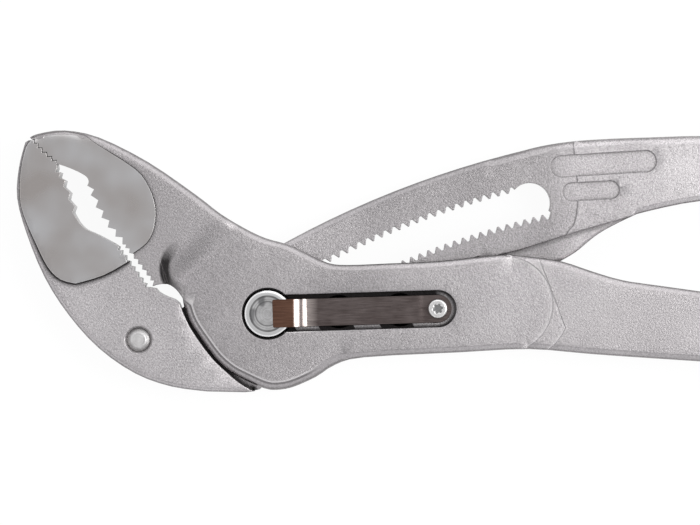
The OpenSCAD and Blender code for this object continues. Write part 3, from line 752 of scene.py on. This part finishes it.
def round_side(bm, node, side, sink):
    """Draws the upper or lower planes again, and notes how deep their points sink."""
    groups = face_groups(bm, side)
    member = {f: i for i, g in enumerate(groups) for f in g}
    split_rims(groups, member)
    all_rims = [find_rims(node, side, group, i, member) for i, group in enumerate(groups)]
    tall = []
    for rim in [rim for rims in all_rims for rim in rims]:
        if rim.radius and rim.depth >= SHALLOW:
            ends = np.array([rim.a.co.xy, rim.b.co.xy], float)
            tall.append((ends, rim.radius, (rim.a.co.z + rim.b.co.z) / 2))
    planes = [dense_plane(side, group, rims, tall) for group, rims in zip(groups, all_rims)]
    bmesh.ops.delete(bm, geom=[f for g in groups for f in g], context="FACES_ONLY")
    for plane in planes:
        normal, origin = plane.normal, plane.origin
        verts = []
        for (x, y), drop, v in zip(plane.points, plane.drop, plane.owners):
            if v is None:
                z = origin.z - (normal.x * (x - origin.x) + normal.y * (y - origin.y)) / normal.z
                v = bm.verts.new((x, y, z))
            sink[v] = max(sink.get(v, 0), drop) if side > 0 else min(sink.get(v, 0), -drop)
            verts.append(v)
        for triangle in plane.triangles:
            corner = [verts[k] for k in triangle[::side]]
            if len(set(corner)) == 3:
                bm.faces.new(corner)
    bm.normal_update()


def rounded_arm(node, body, steel):
    mesh = bpy.data.meshes.new(node + "_forging")
    bm = bmesh.new()
    bm.from_mesh(nodes[node].data)
    bmesh.ops.transform(bm, matrix=Matrix.Scale(1 / MM, 4), verts=bm.verts)
    bmesh.ops.remove_doubles(bm, verts=bm.verts, dist=WELD)
    bm.normal_update()
    sink = {}
    for side in (1, -1):
        round_side(bm, node, side, sink)
    for v, drop in sink.items():
        v.co.z -= drop
    bmesh.ops.delete(bm, geom=[e for e in bm.edges if not e.link_faces], context="EDGES")
    bmesh.ops.transform(bm, matrix=Matrix.Scale(MM, 4), verts=bm.verts)
    bm.to_mesh(mesh)
    bm.free()
    for name in ("custom_normal", "sharp_edge", "sharp_face"):
        if name in mesh.attributes:
            mesh.attributes.remove(mesh.attributes[name])
    mesh.shade_smooth()
    mesh.set_sharp_from_angle(angle=FORGING_SHARP)
    obj = bpy.data.objects.new(node + "_forging", mesh)
    bpy.context.scene.collection.objects.link(obj)
    dress(obj, steel)
    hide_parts(node)
    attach(obj, body)


bolt_face()
leaf_blade()
rounded_arm("front_arm", "front", "forged_steel")
rounded_arm("slotted_arm", "slotted", "slotted_steel")


# --- stage -------------------------------------------------------------------

FLOOR_HALF, FLOOR_LEVEL = 1.6, -0.0003
FLOOR_WHITE = 0.94  # share of plain white that the camera and reflections see, the rest shows the shadow
VIEW_CENTRE = (16.4 * MM, 10.2 * MM)
VIEW_WIDTH, VIEW_DISTANCE = 140, 1100
SENSOR = 36


def floor():
    mesh = bpy.data.meshes.new("floor")
    h, z = FLOOR_HALF, FLOOR_LEVEL
    mesh.from_pydata([(-h, -h, z), (h, -h, z), (h, h, z), (-h, h, z)], [], [(0, 1, 2, 3)])
    obj = bpy.data.objects.new("floor", mesh)
    bpy.context.scene.collection.objects.link(obj)
    material = bpy.data.materials.new("floor")
    material.use_nodes = True
    tree = material.node_tree
    tree.nodes.clear()

    def math_node(operation, a, b):
        return new_node(tree, "ShaderNodeMath", {0: a, 1: b}, operation=operation).outputs[0]

    lit = new_node(tree, "ShaderNodeBsdfDiffuse", {"Color": (0.92, 0.92, 0.92, 1)})
    white = new_node(tree, "ShaderNodeEmission")
    path = new_node(tree, "ShaderNodeLightPath")
    glossy = math_node("MAXIMUM", path.outputs["Is Glossy Ray"], path.outputs["Is Transmission Ray"])
    seen = math_node("MAXIMUM", path.outputs["Is Camera Ray"], glossy)
    share = math_node("MULTIPLY", seen, FLOOR_WHITE)
    mix = new_node(tree, "ShaderNodeMixShader", {"Fac": share, 1: lit.outputs[0], 2: white.outputs[0]})
    new_node(tree, "ShaderNodeOutputMaterial", {"Surface": mix.outputs[0]})
    mesh.materials.append(material)


def world():
    """A pale studio: a bright ring round a softer ceiling, darker towards the floor, least on the far side."""
    w = bpy.data.worlds.new("studio")
    bpy.context.scene.world = w
    w.use_nodes = True
    tree = w.node_tree
    way = new_node(tree, "ShaderNodeTexCoord")
    split = new_node(tree, "ShaderNodeSeparateXYZ", {0: way.outputs["Generated"]})

    def band(axis, start, end, low, high):
        inputs = map_range(split.outputs[axis], low, high, start, end)
        return new_node(tree, "ShaderNodeMapRange", inputs, interpolation_type="SMOOTHSTEP").outputs[0]

    def product(a, b):
        return new_node(tree, "ShaderNodeMath", {0: a, 1: b}, operation="MULTIPLY").outputs[0]

    horizon = band("Y", -0.15, 0.6, 0.34, 0.62)
    rising = band("Z", 0.10, 0.58, horizon, 1.0)
    far_side = band("Y", -0.75, 0.65, 1.08, 1.16)
    ceiling = band("Z", 0.66, 0.80, 1.37, 0.75)
    background = tree.nodes["Background"]
    put(tree, background.inputs["Strength"], product(product(far_side, rising), ceiling))
    put(tree, background.inputs["Color"], (0.98, 0.98, 1.0, 1))


def lamp(name, at, size, power):
    data = bpy.data.lights.new(name, "AREA")
    data.shape = "RECTANGLE"
    data.size, data.size_y = size
    data.energy = power
    obj = bpy.data.objects.new(name, data)
    obj.location = at
    obj.rotation_euler = (Vector((*VIEW_CENTRE, 0)) - Vector(at)).to_track_quat("-Z", "Y").to_euler()
    bpy.context.scene.collection.objects.link(obj)


def camera():
    data = bpy.data.cameras.new("camera")
    data.sensor_width = SENSOR
    data.lens = SENSOR * VIEW_DISTANCE / VIEW_WIDTH
    data.clip_start = 0.01
    obj = bpy.data.objects.new("camera", data)
    obj.location = (*VIEW_CENTRE, (VIEW_DISTANCE + MIDDLE) * MM)
    bpy.context.scene.collection.objects.link(obj)
    bpy.context.scene.camera = obj


floor()
world()
camera()
lamp("key", (0.30, 0.62, 0.72), (1.2, 0.6), 2.0)
lamp("side", (0.56, 0.05, 0.74), (0.3, 0.5), 4.4)
bpy.context.scene.view_settings.view_transform = "Standard"
